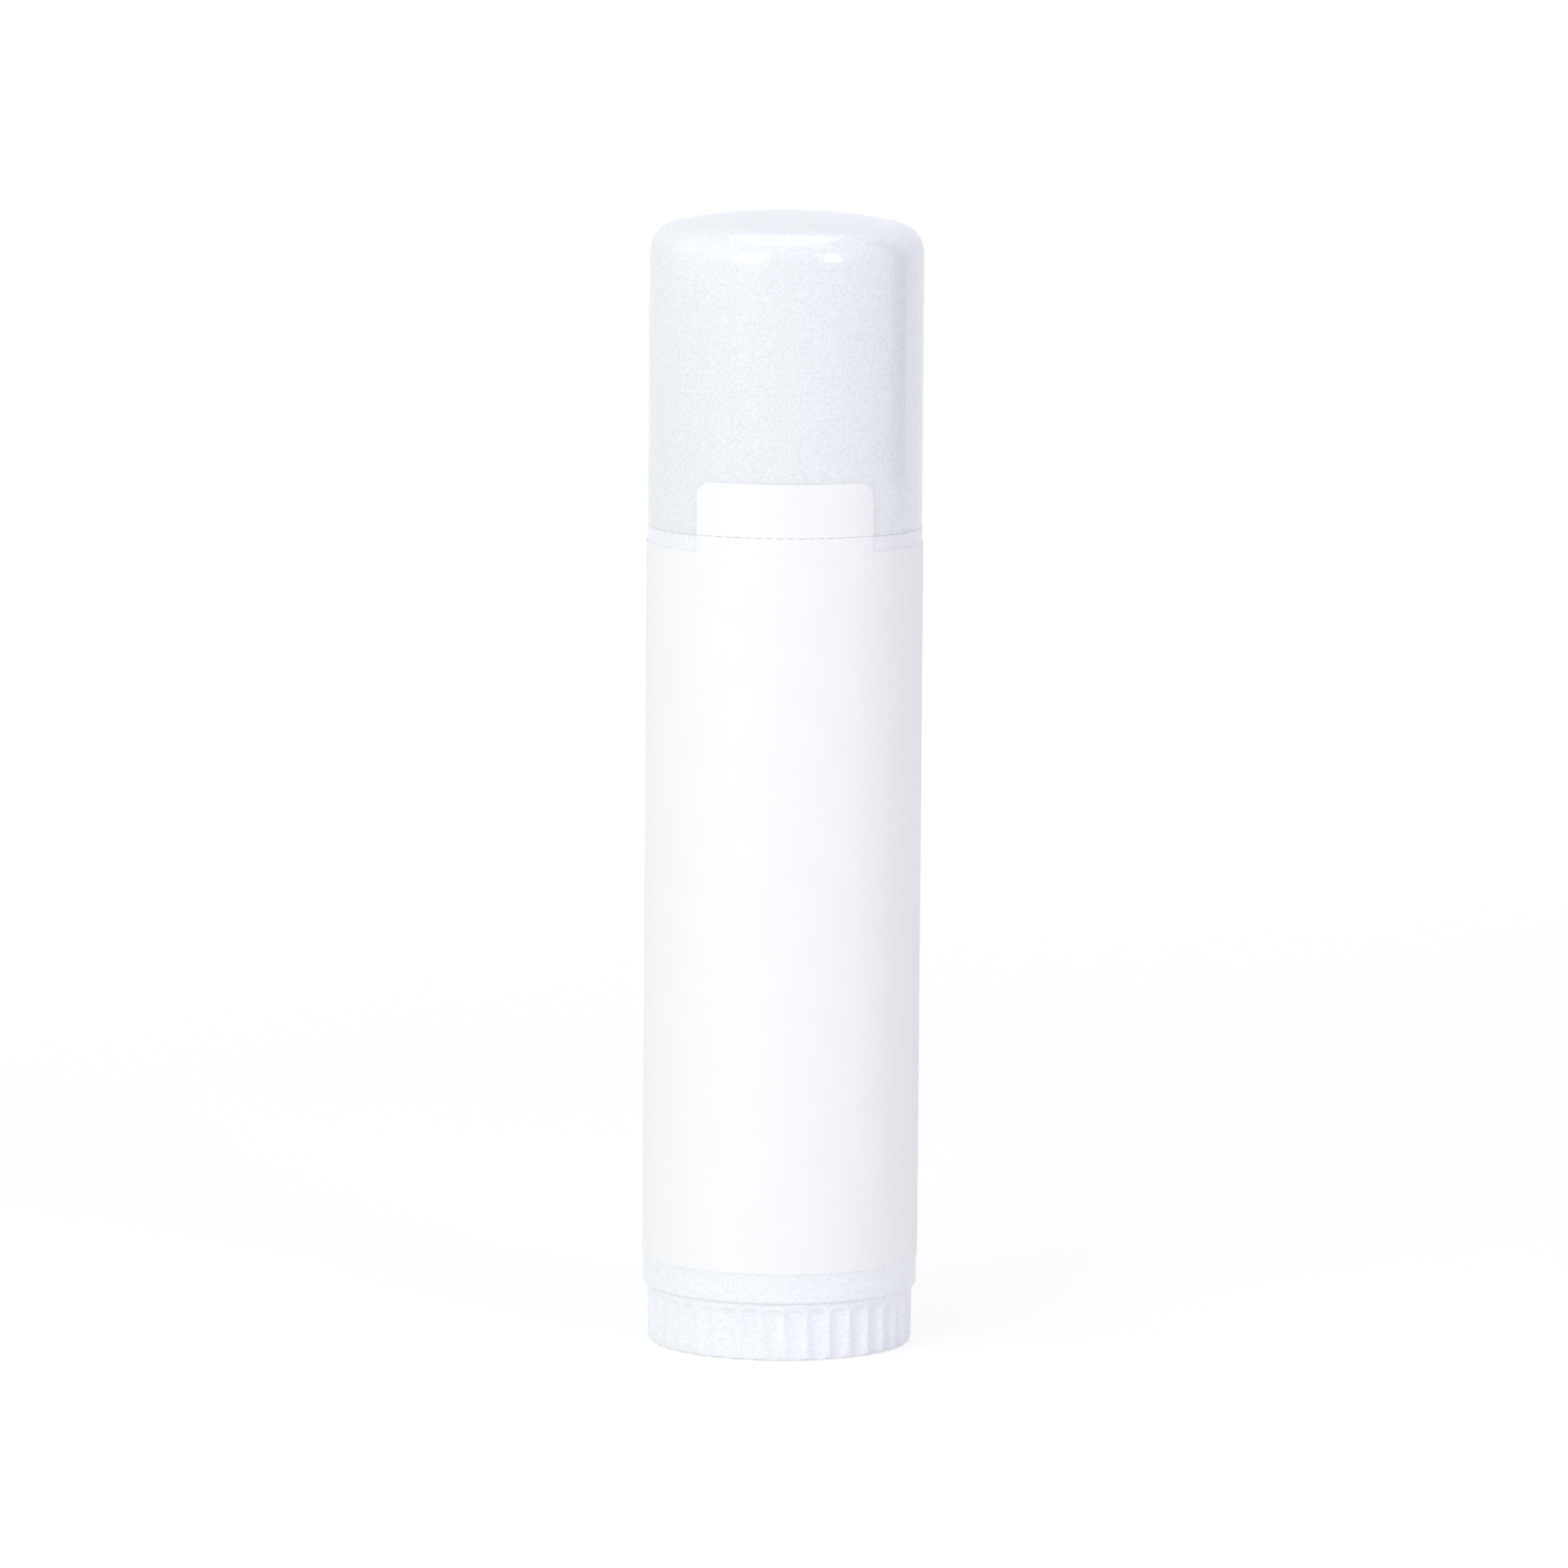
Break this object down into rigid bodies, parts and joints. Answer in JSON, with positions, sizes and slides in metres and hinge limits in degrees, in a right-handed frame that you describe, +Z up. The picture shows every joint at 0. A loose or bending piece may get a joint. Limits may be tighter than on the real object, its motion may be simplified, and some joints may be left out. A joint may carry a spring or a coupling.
{
  "type": "sunscreen stick",
  "caption": "Twist-up sunscreen stick: round tube with a domed pull-off cap, a fluted dial that turns a screw inside, a carrier that rises with the stick, and a blank label.",
  "frame": {"origin": "centre of the dial's rim, on the face that the tube stands on", "axes": "+Z up the tube's axis from the dial to the cap, -Y the front, where the label's tab lies over the cap"},
  "size_m": [0.0162, 0.0162, 0.0663],
  "materials": {
    "gloss_white_plastic": "glossy, cool white polypropylene",
    "satin_white_plastic": "satin, cool white polypropylene",
    "natural_plastic": "natural, slightly translucent polypropylene",
    "sunscreen_wax": "smooth waxy solid, off-white",
    "label_film": "blank white film with a low sheen"
  },
  "bodies": {
    "tube": {"barrel": "satin_white_plastic", "label": "label_film"},
    "dial": {"dial_screw": "satin_white_plastic"},
    "stick": {"carrier": "natural_plastic", "sunscreen_stick": "sunscreen_wax"},
    "cap": {"cap": "gloss_white_plastic", "tamper_tab": "label_film"}
  },
  "joints": [
    {"name": "dial_spin", "type": "hinge", "parent": "tube", "child": "dial", "pos_m": [0, 0, 0], "axis": [0, 0, 1], "range_deg": [0, 5040]},
    {"name": "stick_rise", "type": "slide", "parent": "tube", "child": "stick", "axis": [0, 0, 1], "range_m": [0, 0.042]},
    {"name": "cap_lift", "type": "slide", "parent": "stick", "child": "cap", "axis": [0, 0, 1], "range_m": [0, 0.025]}
  ],
  "couplings": [
    {"joint": "dial_spin", "follows": "stick_rise", "rad_per_m": 2094.4}
  ]
}
